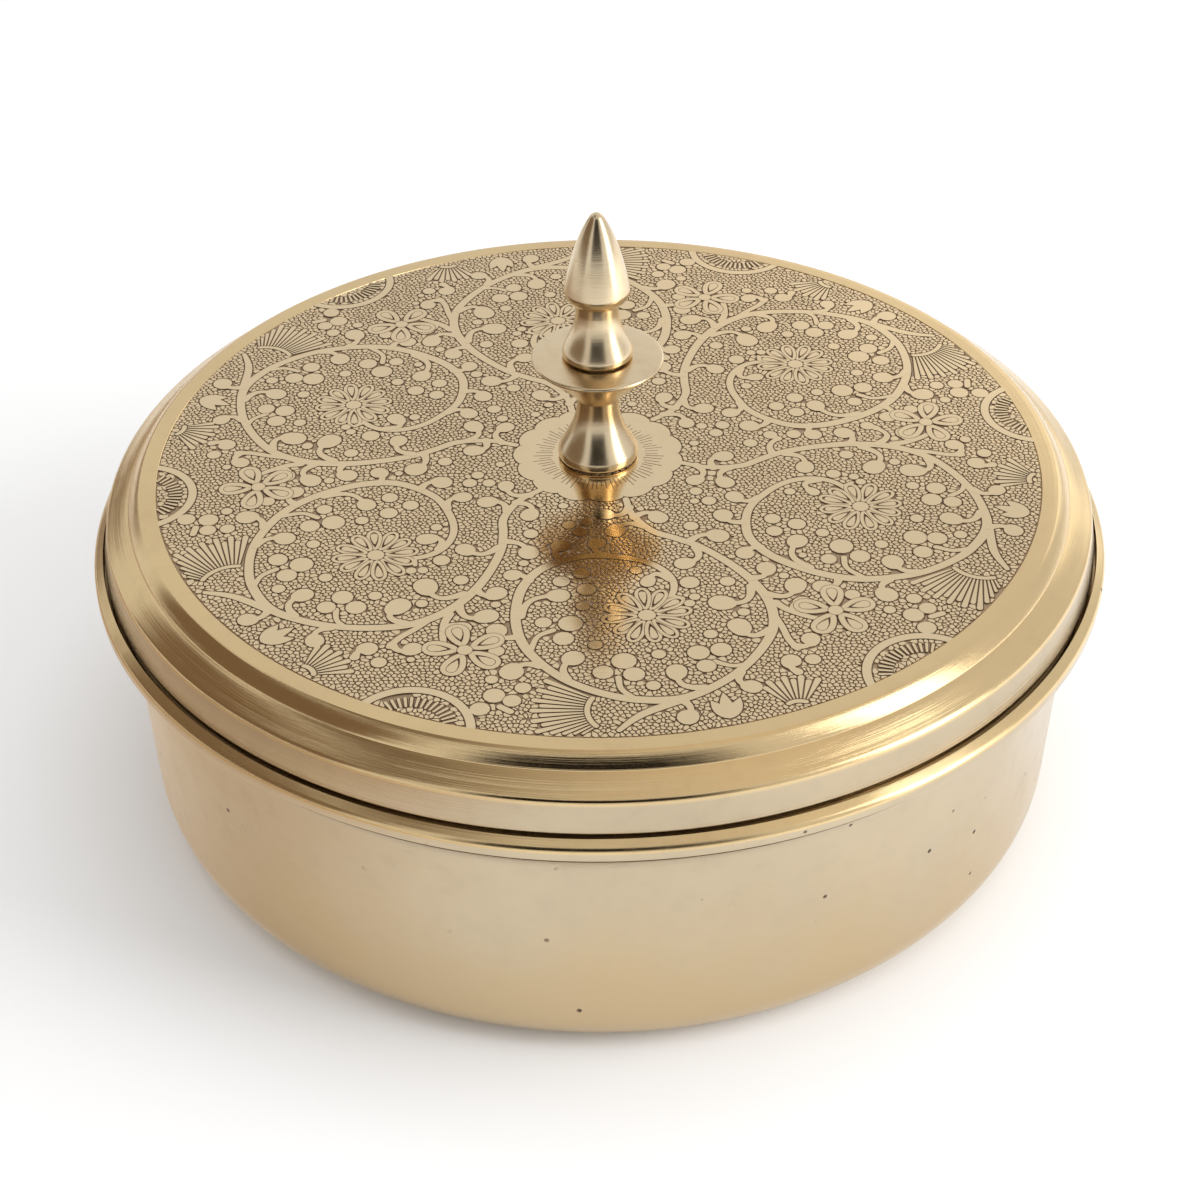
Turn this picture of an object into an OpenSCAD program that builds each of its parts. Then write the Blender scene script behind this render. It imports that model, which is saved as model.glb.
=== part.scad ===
// Round brass spice box (masala dabba): a spun body and lid, a turned two-piece knob held by a
// threaded stud, seven small cups that fill the body, and a spoon that lies across their rims.
// Millimetres, +Z up. The origin is the centre of the flat base, on the surface it stands on.

/* [Body] */
// Outside diameter over the rim band
box_d = 127; // [120:1:140]
// Height of the rim's top edge above the base
rim_h = 37; // [36:0.5:40]
// Thickness of the brass sheet
sheet_t = 1; // [0.8:0.1:1.2]
// Outside radius of the corner between the base and the wall
base_corner_r = 6.4; // [5:0.2:8]
// How far the wall stands inside the rim band, past the hollow moulding
cove_r = 3.5; // [3:0.1:4]
// How much the wall leans inward from the moulding down to the base corner
wall_lean = 0.7; // [0:0.1:1]

/* [Lid] */
// Height of the lid's flat top above the rim's top edge
lid_rise = 7.7; // [7:0.1:10]
// Radius of the lid's flat top, where its rounded shoulder starts
lid_flat_r = 56.7; // [52:0.1:57]
// Width and height of the rounded shoulder
shoulder_r = 1.5; // [1.2:0.1:1.8]
// Height of the shoulder's foot above the outer edge of the sloping ledge
ledge_drop = 1.9; // [1.5:0.1:2.2]

/* [Knob] */
// Height of the knob's lower piece: foot, neck and collar
knob_base_h = 14.3; // [13:0.1:16]
// Height of the knob's finial above the collar
finial_h = 19.1; // [17:0.1:22]
// Radius of the knob's foot
foot_r = 5; // [4.5:0.1:6]
// Radius of the flat collar
collar_r = 8.1; // [7:0.1:9]
// Radius of the knob's two necks
neck_r = 2.6; // [2.5:0.1:3]

/* [Cups] */
// Outside height of a cup
cup_h = 30; // [24:0.5:30]
// Thickness of a cup's wall
cup_t = 0.8; // [0.6:0.1:1]
// Gap left between neighbouring cups
cup_gap = 0.4; // [0.4:0.1:1]

/* [Spoon] */
// Length of the spoon from end to end
spoon_l = 89; // [84:1:92]
// Radius of the spoon's round bowl
bowl_r = 10.5; // [8:0.5:11]
// Depth of the spoon's bowl
bowl_d = 4.2; // [3:0.1:5]

/* [Hidden] */
$fn = 96;
RING_CUPS = 6;
RING_NAMES = [for (i = [1:RING_CUPS]) str("ring_cup_", i)];

// Fits
fastener_play = 0.05;
cup_wall_gap = 0.6;
stand_gap = 0.1;
seat_gap = 0.15;

// Body
rim_r = box_d / 2;
band_h = 2.7;
band_roll_r = 1.1;
band_t = sheet_t + 0.2;
mouth_r = rim_r - band_t;
cove_z = rim_h - band_h - cove_r;
wall_top_r = rim_r - cove_r;
wall_foot_r = wall_top_r - wall_lean;

// Lid
lid_top_z = rim_h + lid_rise;
shoulder_foot_r = lid_flat_r + shoulder_r + 0.2;
shoulder_foot_z = lid_top_z - shoulder_r;
ledge_r = rim_r - 2.2;
ledge_z = shoulder_foot_z - ledge_drop;
ledge_round = 0.5;
skirt_swell_r = rim_r - 1.5;
skirt_swell_z = rim_h + 0.6;
skirt_r = rim_r - 1.9;
skirt_turn_z = rim_h - 0.5;
skirt_mid_r = skirt_r - sheet_t / 2;
step_r = cove_r + sheet_t;
skirt_round_z = cove_z + seat_gap
    + sqrt(pow(step_r + sheet_t / 2, 2) - pow(rim_r - skirt_mid_r, 2));

// Knob and its fastening
stud_r = 1.5;
stud_hole_r = stud_r + 0.1;
foot_round = 0.6;
collar_z = lid_top_z + knob_base_h;
collar_edge = 0.6;
collar_cone_h = 5.2;
finial_top_z = collar_z + finial_h;
finial_base_r = 4.3;
finial_foot_r = 3.6;
bullet_r = 4;
bullet_z = collar_z + finial_h * 0.476;
finial_neck_z = bullet_z - 1.7;
stud_top_z = finial_neck_z - 1;
washer_r = 4.5;
washer_t = 0.6;
nut_flats = 5.5;
nut_h = 2.4;
washer_z = lid_top_z - sheet_t - washer_t;
nut_z = washer_z - nut_h;
stud_bottom_z = nut_z - 0.8;

// Cups
cup_r = (wall_foot_r - sheet_t - cup_gap - cup_wall_gap) / 3;
ring_r = 2 * cup_r + cup_gap;
bead_r = 0.7;
cup_corner_r = 4;
cup_foot_r = cup_r - 2.3;
cup_z = sheet_t + stand_gap;
cup_rim_z = cup_z + cup_h;

// Spoon
handle_t = 0.9;
handle_neck_w = 4.4;
handle_end_w = 8;
spoon_gap = 0.2;
handle_z = cup_rim_z + spoon_gap;
bowl_x = 4.5 - ring_r;
bowl_sphere_r = (pow(bowl_r, 2) + pow(bowl_d, 2)) / (2 * bowl_d);
handle_end_x = bowl_x - bowl_r + spoon_l - handle_end_w / 2;
handle_start_x = bowl_x + bowl_r - 1.4;

// Points along an arc of a circle.
function arc(x, y, r, from, to, steps = 8) =
    [for (i = [0:steps]) let (a = from + (to - from) * i / steps) [x + r * cos(a), y + r * sin(a)]];

// Points along a cubic curve from a to d, with the handles b and c.
function curve(a, b, c, d, steps = 12) =
    [for (i = [0:steps]) let (t = i / steps, s = 1 - t)
        s * s * s * a + 3 * s * s * t * b + 3 * s * t * t * c + t * t * t * d];

// A spun or turned piece: the outline is drawn as radius against height.
module turned(outline) {
    rotate_extrude() polygon(outline);
}

// Spun body: flat base, rounded corner, plain wall, hollow moulding and a rolled rim band.
// Inside, the moulding forms the step that the lid's skirt sits on.
module body() {
    outside = concat(
        [[0, 0]],
        arc(wall_foot_r - base_corner_r, base_corner_r, base_corner_r, -90, 0),
        curve([wall_top_r, cove_z - 1], [wall_top_r, cove_z + 1.6],
              [rim_r - 1.3, cove_z + 2.8], [rim_r - 0.6, cove_z + cove_r - 0.15]),
        [[rim_r - 0.1, rim_h - band_h + 0.1]],
        arc(rim_r - band_roll_r, rim_h - band_roll_r, band_roll_r, 0, 90, 6));
    inside = concat(
        [[mouth_r + 0.15, rim_h - 0.05], [mouth_r, rim_h - 0.3]],
        arc(rim_r, cove_z, step_r, 180 - acos(band_t / step_r), 180, 10),
        arc(wall_foot_r - base_corner_r, base_corner_r, base_corner_r - sheet_t, 0, -90),
        [[0, sheet_t]]);
    color("darkgoldenrod") turned(concat(outside, inside));
}

// Spun lid: flat top with a rounded shoulder, a sloping ledge, and a skirt that drops into the
// body's mouth. The skirt swells where it meets the rim, then turns in to clear it.
module lid() {
    slope = atan2(shoulder_foot_z - ledge_z, ledge_r - shoulder_foot_r);
    inner_shift = [-sin(slope), -cos(slope)] * sheet_t;
    inner_foot_r = shoulder_foot_r - sheet_t;
    inner_edge = [ledge_r, ledge_z] + inner_shift;
    inner_rise = (inner_edge[0] - inner_foot_r) * tan(slope);
    outside = concat(
        [[0, lid_top_z]],
        curve([lid_flat_r, lid_top_z], [lid_flat_r + 0.6, lid_top_z],
              [shoulder_foot_r - 0.5, lid_top_z - 0.7], [shoulder_foot_r, shoulder_foot_z]),
        arc(ledge_r - ledge_round, ledge_z - ledge_round + 0.1, ledge_round + 0.1, 90 - slope, 10, 5),
        [[skirt_swell_r, skirt_swell_z], [skirt_r, skirt_turn_z]]);
    underside = concat(
        arc(skirt_mid_r, skirt_round_z, sheet_t / 2, 0, -180, 8),
        [[skirt_r - sheet_t, skirt_turn_z], [skirt_swell_r - sheet_t, skirt_swell_z],
         [inner_edge[0] - 0.1, inner_edge[1] - 0.4], inner_edge,
         [inner_foot_r, inner_edge[1] + inner_rise]],
        arc(shoulder_foot_r - shoulder_r, shoulder_foot_z, shoulder_r - sheet_t, 0, 90, 4),
        [[0, lid_top_z - sheet_t]]);
    color("goldenrod") difference() {
        turned(concat(outside, underside));
        translate([0, 0, lid_top_z - sheet_t - 1]) cylinder(r = stud_hole_r, h = sheet_t + 2);
    }
}

// Lower piece of the knob: a swelling foot, a waisted neck and a thin collar with a coned
// underside, bored through for the stud.
module knob_base() {
    foot_z = lid_top_z;
    waist_z = foot_z + knob_base_h - collar_cone_h - 1.5;
    cone_z = collar_z - collar_edge - collar_cone_h;
    outline = concat(
        [[0, foot_z], [foot_r - foot_round, foot_z]],
        arc(foot_r - foot_round, foot_z + foot_round, foot_round, -90, 10, 5),
        curve([foot_r - 0.05, foot_z + 1.2], [foot_r - 0.5, foot_z + 2.4],
              [neck_r + 0.05, foot_z + 4.6], [neck_r, waist_z]),
        curve([neck_r, cone_z], [neck_r + 0.3, cone_z + 0.6],
              [collar_r - 2, collar_z - collar_edge - 1.5], [collar_r - 0.2, collar_z - collar_edge]),
        arc(collar_r - collar_edge / 2, collar_z - collar_edge / 2, collar_edge / 2, -30, 90, 6),
        [[0, collar_z]]);
    color("gold") difference() {
        turned(outline);
        translate([0, 0, foot_z - 1]) cylinder(r = stud_r + fastener_play, h = knob_base_h + 2);
    }
}

// Upper piece of the knob: a flared base, a neck and a pointed bullet, bored from below.
module knob_finial() {
    flare_z = collar_z + 0.9;
    outline = concat(
        [[0, collar_z], [finial_foot_r, collar_z], [finial_foot_r, collar_z + 0.2],
         [finial_base_r, collar_z + 0.35]],
        curve([finial_base_r, flare_z], [finial_base_r - 0.4, flare_z + 1.4],
              [neck_r + 0.15, flare_z + 2.7], [neck_r - 0.02, flare_z + 5.5]),
        curve([neck_r, finial_neck_z], [neck_r + 0.9, finial_neck_z + 0.3],
              [bullet_r - 0.1, bullet_z - 0.7], [bullet_r, bullet_z], 8),
        curve([bullet_r, bullet_z], [bullet_r - 0.25, bullet_z + 1.5],
              [2.6, bullet_z + 6.9], [0.9, finial_top_z - 0.6]),
        curve([0.9, finial_top_z - 0.6], [0.7, finial_top_z - 0.25],
              [0.4, finial_top_z], [0, finial_top_z], 5));
    color("gold") difference() {
        turned(outline);
        translate([0, 0, collar_z - 1]) cylinder(r = stud_r + fastener_play, h = stud_top_z - collar_z + 1.5);
    }
}

// Threaded stud through the lid and both knob pieces, drawn at its outer thread radius.
module knob_stud() {
    chamfer = 0.3;
    color("peru") turned([[0, stud_bottom_z], [stud_r - chamfer, stud_bottom_z],
        [stud_r, stud_bottom_z + chamfer], [stud_r, stud_top_z - chamfer],
        [stud_r - chamfer, stud_top_z], [0, stud_top_z]]);
}

// Plain washer under the lid.
module knob_washer() {
    color("khaki") translate([0, 0, washer_z]) difference() {
        cylinder(r = washer_r, h = washer_t);
        translate([0, 0, -1]) cylinder(r = stud_hole_r, h = washer_t + 2);
    }
}

// Hexagon nut that clamps the knob to the lid.
module knob_nut() {
    color("tan") translate([0, 0, nut_z]) difference() {
        cylinder(d = nut_flats / cos(30), h = nut_h, $fn = 6);
        translate([0, 0, -1]) cylinder(r = stud_r + fastener_play, h = nut_h + 2);
    }
}

// Spice cup: flat base, rounded corner, slightly flared wall and a beaded rim.
module cup(place) {
    corner_x = cup_foot_r - cup_corner_r;
    bead_x = cup_r - bead_r;
    inner_x = bead_x - bead_r + 0.1;
    outline = concat(
        arc(corner_x, cup_corner_r, cup_corner_r, -90, 0, 6),
        arc(bead_x, cup_h - bead_r, bead_r, -70, 180, 10),
        [[inner_x, cup_h - 2 * bead_r]],
        arc(corner_x, cup_corner_r, cup_corner_r - cup_t, 0, -90, 6));
    color("burlywood") translate([place[0], place[1], cup_z])
        turned(concat([[0, 0]], outline, [[0, cup_t]]));
}

// Place of one of the cups that stand in a ring round the centre cup.
function ring_place(i) = let (a = 360 / RING_CUPS * i) [ring_r * cos(a), ring_r * sin(a)];

// Spoon: a shallow round bowl that hangs in one cup and a flat handle that widens to its end.
module spoon() {
    half_angle = asin(bowl_r / bowl_sphere_r);
    inner_r = bowl_sphere_r - handle_t;
    centre_z = bowl_sphere_r - bowl_d;
    inner_angle = acos(centre_z / inner_r);
    color("chocolate") translate([0, 0, handle_z]) {
        translate([bowl_x, 0, handle_t]) turned(concat(
            arc(0, centre_z, bowl_sphere_r, -90, half_angle - 90),
            arc(0, centre_z, inner_r, inner_angle - 90, -90)));
        linear_extrude(handle_t) {
            polygon([[handle_start_x, -handle_neck_w / 2], [handle_end_x, -handle_end_w / 2],
                [handle_end_x, handle_end_w / 2], [handle_start_x, handle_neck_w / 2]]);
            translate([handle_end_x, 0]) circle(d = handle_end_w);
        }
    }
}

body();
lid();
knob_base();
knob_finial();
knob_stud();
knob_washer();
knob_nut();
cup([0, 0]);  // centre_cup
for (i = [0:RING_CUPS - 1]) cup(ring_place(i));
spoon();
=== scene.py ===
"""Looks of the brass spice box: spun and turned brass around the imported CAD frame, with an
engraved lid. Outlines are in millimetres, in the frame of the CAD; meshes are in metres."""
import random
from math import acos, atan2, cos, degrees, hypot, pi, radians, sin, sqrt, tan

import bpy
import numpy as np
from mathutils import Matrix, Vector, kdtree


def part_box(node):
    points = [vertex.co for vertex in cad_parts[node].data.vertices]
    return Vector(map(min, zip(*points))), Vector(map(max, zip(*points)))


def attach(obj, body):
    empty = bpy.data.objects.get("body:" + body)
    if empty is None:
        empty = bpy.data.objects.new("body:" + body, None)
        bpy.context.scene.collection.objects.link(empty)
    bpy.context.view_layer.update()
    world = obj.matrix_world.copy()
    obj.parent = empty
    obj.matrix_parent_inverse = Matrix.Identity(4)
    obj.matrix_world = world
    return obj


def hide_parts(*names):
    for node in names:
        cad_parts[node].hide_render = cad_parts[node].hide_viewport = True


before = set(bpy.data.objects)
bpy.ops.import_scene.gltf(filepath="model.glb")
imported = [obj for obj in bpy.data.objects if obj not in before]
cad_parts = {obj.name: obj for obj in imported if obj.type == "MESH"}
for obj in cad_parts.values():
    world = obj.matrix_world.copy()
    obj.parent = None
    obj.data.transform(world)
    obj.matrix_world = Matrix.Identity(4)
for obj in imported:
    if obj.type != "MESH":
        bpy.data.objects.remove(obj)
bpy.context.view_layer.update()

MM = 0.001
SEGMENTS = 288


def add_object(name, data):
    """An object in the scene."""
    thing = bpy.data.objects.new(name, data)
    bpy.context.scene.collection.objects.link(thing)
    return thing


def node_box(node):
    """A CAD node's lowest and highest corners, in millimetres."""
    low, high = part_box(node)
    return np.array(low) / MM, np.array(high) / MM


_, BODY_HIGH = node_box("body")
LID_LOW, LID_HIGH = node_box("lid")
CUP_LOW, CUP_HIGH = node_box("centre_cup")
SPOON_LOW, SPOON_HIGH = node_box("spoon")
_, COLLAR_HIGH = node_box("knob_base")
FINIAL_LOW, FINIAL_HIGH = node_box("knob_finial")

RIM_R = BODY_HIGH[0]
RIM_Z = BODY_HIGH[2]
LID_Z = LID_HIGH[2]
SHEET = 1.0

# The lid's flat top, its engraved field and the slope of the engraved walls
FLAT_R = 56.7
FIELD_R = 54.9
FLOOR_Z = LID_Z - 0.14
FLANK = 0.07


# ---- outlines and meshes

def arc(x, z, radius, start, end, steps):
    """Points along an arc, angles in degrees."""
    angles = np.radians(np.linspace(start, end, steps + 1))
    return [(x + radius * cos(a), z + radius * sin(a)) for a in angles]


def curve(a, b, c, d, steps):
    """Points along a cubic curve from a to d, with the handles b and c."""
    a, b, c, d = (np.array(p, float) for p in (a, b, c, d))
    points = []
    for t in np.linspace(0, 1, steps + 1):
        s = 1 - t
        points.append(tuple(s ** 3 * a + 3 * s * s * t * b + 3 * s * t * t * c + t ** 3 * d))
    return points


def new_piece(name, vertices, faces, body, material, stands_for=(), sharp=32.0, cuts=None):
    """A mesh from millimetre vertices, which rides on a body, takes a material and replaces the
    CAD nodes that it stands for. cuts gives the patina of the engraved cuts and, for each face,
    whether it takes it."""
    mesh = bpy.data.meshes.new(name)
    mesh.from_pydata([tuple(v) for v in np.asarray(vertices, float) * MM], [], faces)
    mesh.shade_smooth()
    mesh.set_sharp_from_angle(angle=radians(sharp))
    mesh.materials.append(material)
    if cuts:
        mesh.materials.append(cuts[0])
        mesh.polygons.foreach_set("material_index", np.array(cuts[1], np.int32))
    piece = add_object(name, mesh)
    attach(piece, body)
    if stands_for:
        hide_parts(*stands_for)


def turned_piece(name, outline, body, slot, material, node, closed=False, segments=SEGMENTS,
                 warp=None, sharp=32.0):
    """A turned solid that replaces a CAD node. Its outline runs counter-clockwise round its
    section, as (radius, height) pairs, and starts and ends on the axis unless closed."""
    angles = np.linspace(0, 2 * pi, segments, endpoint=False)
    cosines, sines = np.cos(angles), np.sin(angles)
    vertices, rings, faces = [], [], []
    for radius, height in outline:
        first = len(vertices)
        if radius < 1e-6:
            vertices.append((0.0, 0.0, height))
            rings.append([first] * segments)
        else:
            vertices.extend(zip(radius * cosines, radius * sines, [height] * segments))
            rings.append(list(range(first, first + segments)))
    pairs = list(zip(rings[:-1], rings[1:]))
    if closed:
        pairs.append((rings[-1], rings[0]))
    for low, high in pairs:
        for i in range(segments):
            j = (i + 1) % segments
            corners = [low[i], low[j], high[j], high[i]]
            corners = [c for k, c in enumerate(corners) if c not in corners[:k]]
            if len(corners) > 2:
                faces.append(corners)
    vertices = np.array(vertices, float)
    if warp:
        vertices = warp(vertices)
    new_piece(name, vertices, faces, body, material, [node], sharp)


def hand_spun(amount, seed):
    """A warp that makes a spun wall very slightly out of round, as hand work is. It grows from
    nothing at a radius of 20 mm to its full size at 55 mm."""
    phases = random.Random(seed)
    waves = [(k, phases.uniform(0, 2 * pi), phases.uniform(-0.12, 0.12), amount / k ** 0.8)
             for k in (2, 3, 5, 8, 13)]

    def warp(vertices):
        angle = np.arctan2(vertices[:, 1], vertices[:, 0])
        shift = sum(size * np.sin(k * angle + phase + drift * vertices[:, 2])
                    for k, phase, drift, size in waves)
        out = vertices.copy()
        radius = np.maximum(np.hypot(vertices[:, 0], vertices[:, 1]), 1e-6)
        grow = np.clip((radius - 20) / 35, 0, 1) * shift / radius
        out[:, :2] *= 1 + grow[:, None]
        return out
    return warp


# ---- materials

class Nodes:
    """Short calls for building one material's node tree."""

    def __init__(self, name):
        self.material = bpy.data.materials.new(name)
        self.material.use_nodes = True
        self.tree = self.material.node_tree
        self.tree.nodes.clear()
        self.shader = self.tree.nodes.new("ShaderNodeBsdfPrincipled")
        output = self.tree.nodes.new("ShaderNodeOutputMaterial")
        self.link(self.shader.outputs[0], output.inputs[0])
        self.place = self.tree.nodes.new("ShaderNodeTexCoord").outputs["Object"]

    def link(self, source, target):
        self.tree.links.new(source, target)

    def put(self, socket, value):
        if isinstance(value, bpy.types.NodeSocket):
            self.link(value, socket)
        else:
            socket.default_value = value

    def set(self, name, value):
        """One of the shader's own inputs."""
        self.put(self.shader.inputs[name], value)

    def math(self, operation, a, b=0.0, clamp=False):
        node = self.tree.nodes.new("ShaderNodeMath")
        node.operation = operation
        node.use_clamp = clamp
        self.put(node.inputs[0], a)
        self.put(node.inputs[1], b)
        return node.outputs[0]

    def times(self, a, b):
        return self.math("MULTIPLY", a, b)

    def plus(self, a, b, clamp=False):
        return self.math("ADD", a, b, clamp)

    def split(self, vector):
        node = self.tree.nodes.new("ShaderNodeSeparateXYZ")
        self.put(node.inputs[0], vector)
        return node.outputs

    def join(self, x, y, z):
        node = self.tree.nodes.new("ShaderNodeCombineXYZ")
        for socket, value in zip(node.inputs, (x, y, z)):
            self.put(socket, value)
        return node.outputs[0]

    def noise(self, vector, scale, detail=3.0, roughness=0.55):
        node = self.tree.nodes.new("ShaderNodeTexNoise")
        self.put(node.inputs["Vector"], vector)
        for key, value in (("Scale", scale), ("Detail", detail), ("Roughness", roughness)):
            node.inputs[key].default_value = value
        return node.outputs["Fac"]

    def cells(self, vector, scale):
        node = self.tree.nodes.new("ShaderNodeTexVoronoi")
        self.put(node.inputs["Vector"], vector)
        node.inputs["Scale"].default_value = scale
        return node.outputs["Distance"]

    def spread(self, value, low, high, to_low=0.0, to_high=1.0):
        node = self.tree.nodes.new("ShaderNodeMapRange")
        node.interpolation_type = "SMOOTHSTEP"
        self.put(node.inputs[0], value)
        for socket, number in zip(node.inputs[1:5], (low, high, to_low, to_high)):
            socket.default_value = number
        return node.outputs[0]

    def fall(self, value, low, high):
        return self.spread(value, low, high, 1.0, 0.0)

    def mix(self, factor, a, b):
        node = self.tree.nodes.new("ShaderNodeMix")
        node.data_type = "RGBA"
        self.put(node.inputs["Factor"], factor)
        for socket, value in zip((node.inputs[6], node.inputs[7]), (a, b)):
            self.put(socket, value if isinstance(value, bpy.types.NodeSocket) else (*value, 1.0))
        return node.outputs[2]

    def bump(self, height, distance, under=None):
        node = self.tree.nodes.new("ShaderNodeBump")
        node.inputs["Strength"].default_value = 1.0
        node.inputs["Distance"].default_value = distance
        self.put(node.inputs["Height"], height)
        if under is not None:
            self.put(node.inputs["Normal"], under)
        return node.outputs[0]

    def turned_place(self, centre):
        """Cylindrical coordinates round a vertical axis: radius, turn angle and height."""
        x, y, z = self.split(self.place)
        x = self.math("SUBTRACT", x, centre[0])
        y = self.math("SUBTRACT", y, centre[1])
        squares = self.plus(self.times(x, x), self.times(y, y))
        return self.math("SQRT", squares), self.math("ARCTAN2", y, x), z


def brass(name, base, deep, roughness, brushing=0.02 * MM, patina=0.25, specks=0.0, engraved=False,
          pale=None, foot=None, crevice=None, centre=(0.0, 0.0), waviness=0.0):
    """Brass in two tones, base and deep, mixed by clouds, mottling and fine turning lines round a
    centre. patina is the share of the deep tone, brushing the depth of the lines, waviness the
    depth of shallow dents, and specks the strength of small dark spots. An engraved one is dark on
    the floor of the lid's field. pale gives a paler colour for the brass below a height, a painted
    reflection of the pale floor, and foot a deeper gold for the foot of a wall, a painted
    reflection of the shaded floor near the box, each with the heights between which it gives way
    to the brass above. crevice gives the height, half-width and least radius of a line of painted
    shade round the piece. All of these lengths are in metres, and the noises' scales are in
    features a metre."""
    n = Nodes(name)
    radius, turn, height = n.turned_place(centre)
    across = n.join(n.times(radius, LINES), n.times(turn, 0.7), n.times(height, LINES))
    fine = n.noise(across, 1.0, detail=4.0, roughness=0.7)
    broad = n.noise(n.place, 38.0, detail=4.0)
    mottle = n.noise(n.place, 420.0, detail=3.0, roughness=0.6)
    tone = n.plus(n.times(n.spread(broad, 0.35, 0.68), patina),
                  n.times(n.spread(mottle, 0.45, 0.75), patina * 0.6), clamp=True)
    tone = n.plus(tone, n.times(n.spread(fine, 0.5, 0.8), patina * 0.35), clamp=True)
    colour = n.mix(tone, base, deep)
    # Painted reflection: a paler tone below a height, standing in for the pale floor that the wall and
    # the skirt mirror
    if pale:
        light, low, high = pale
        pale_reflection = n.mix(tone, light, tuple(0.84 * c for c in light))
        colour = n.mix(n.fall(height, low, high), colour, pale_reflection)
    # Painted shade and reflection: a deeper gold towards the foot of a wall, standing in for the shaded
    # floor near the box that it mirrors
    if foot:
        foot_reflection, low, high = foot
        place = n.join(n.times(turn, 3.0), 0.0, n.times(height, 60.0))
        streaks = n.math("SUBTRACT", n.noise(place, 1.0), 0.5)
        level = n.plus(height, n.times(streaks, 0.03))
        colour = n.mix(n.fall(level, low, high), colour, foot_reflection)
    rough = n.plus(n.spread(broad, 0.3, 0.7, *roughness), n.times(n.spread(mottle, 0.4, 0.8), 0.05))
    if specks:
        spots = n.fall(n.cells(n.place, 300.0), 0.06, 0.12)
        rare = n.spread(n.noise(n.place, 110.0, detail=1.0), 0.54, 0.60)
        spots = n.times(n.times(spots, rare), specks)
        colour = n.mix(spots, colour, SPECK_COLOUR)
        rough = n.plus(rough, n.times(spots, 0.3))
    if engraved:
        inside = n.times(n.math("LESS_THAN", radius, (FIELD_R + 0.1) * MM),
                         n.math("GREATER_THAN", height, (FLOOR_Z - 0.2) * MM))
        low, high = (FLOOR_Z + 0.015) * MM, (FLOOR_Z + 0.035) * MM
        dark = n.times(n.fall(height, low, high), inside)
        colour = n.mix(dark, colour, GROUND_COLOUR)
        rough = n.plus(rough, n.times(dark, 0.3))
    # Painted shade: a dark line round the body under its rim's band, where the notch lies in shadow
    if crevice:
        middle, half, least_radius = crevice
        off = n.math("ABSOLUTE", n.math("SUBTRACT", height, middle))
        dark = n.times(n.fall(off, half * 0.8, half), n.math("GREATER_THAN", radius, least_radius))
        colour = n.mix(dark, colour, CREVICE_SHADE_COLOUR)
    n.set("Base Color", colour)
    n.set("Roughness", rough)
    n.set("Metallic", 1.0)
    normal = None
    if waviness:
        normal = n.bump(n.noise(n.place, 55.0, detail=2.0), waviness)
    normal = n.bump(fine, brushing, under=normal)
    n.set("Normal", normal)
    return n.material


# Turning lines in a metre, the colours of the cuts, ground and specks on the brass, and the colour of the
# painted shade in the body's crevice
LINES = 5000.0
CUT_COLOUR = (0.22, 0.145, 0.085)
GROUND_COLOUR = (0.42, 0.30, 0.19)
SPECK_COLOUR = (0.035, 0.02, 0.012)
CREVICE_SHADE_COLOUR = (0.10, 0.06, 0.03)

# Painted reflection: the body is paler below its rim's rounded edge, and the lid below its ledge, for the
# pale floor that they mirror.
# The body's deeper gold foot is painted reflection of the shaded floor near the box, and its crevice line
# is painted shade under the rim's band
BODY_BRASS = brass("body_brass", (0.77, 0.58, 0.31), (0.62, 0.45, 0.24), (0.13, 0.24), specks=0.9,
                   pale=((0.605, 0.50, 0.35), (RIM_Z - 1.3) * MM, (RIM_Z - 1.1) * MM),
                   foot=((0.60, 0.465, 0.285), 6 * MM, 26 * MM), patina=0.4,
                   crevice=((RIM_Z - 2.64) * MM, 0.26 * MM, (RIM_R - 1.2) * MM),
                   brushing=0.012 * MM, waviness=0.25 * MM)
LID_BRASS = brass("lid_brass", (0.78, 0.585, 0.315), (0.66, 0.48, 0.26), (0.11, 0.17),
                  pale=((0.555, 0.455, 0.315), (LID_Z - 4.2) * MM, (LID_Z - 3.6) * MM),
                  engraved=True, brushing=0.024 * MM, patina=0.4)
FIELD_BRASS = brass("field_brass", (0.81, 0.64, 0.405), (0.70, 0.54, 0.335), (0.07, 0.11),
                    brushing=0.004 * MM)
CUT_PATINA = brass("cut_patina", CUT_COLOUR, (0.12, 0.075, 0.045), (0.42, 0.55))
GROUND_PATINA = brass("ground_patina", GROUND_COLOUR, (0.26, 0.175, 0.11), (0.38, 0.5))
KNOB_BRASS = brass("knob_brass", (0.80, 0.66, 0.45), (0.60, 0.44, 0.25), (0.17, 0.25),
                   brushing=0.01 * MM, patina=0.35)
HARDWARE_BRASS = brass("hardware_brass", (0.74, 0.55, 0.28), (0.50, 0.34, 0.16), (0.22, 0.36))
SPOON_BRASS = brass("spoon_brass", (0.83, 0.63, 0.33), (0.60, 0.40, 0.18), (0.12, 0.22), specks=0.6)


# ---- body

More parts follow.
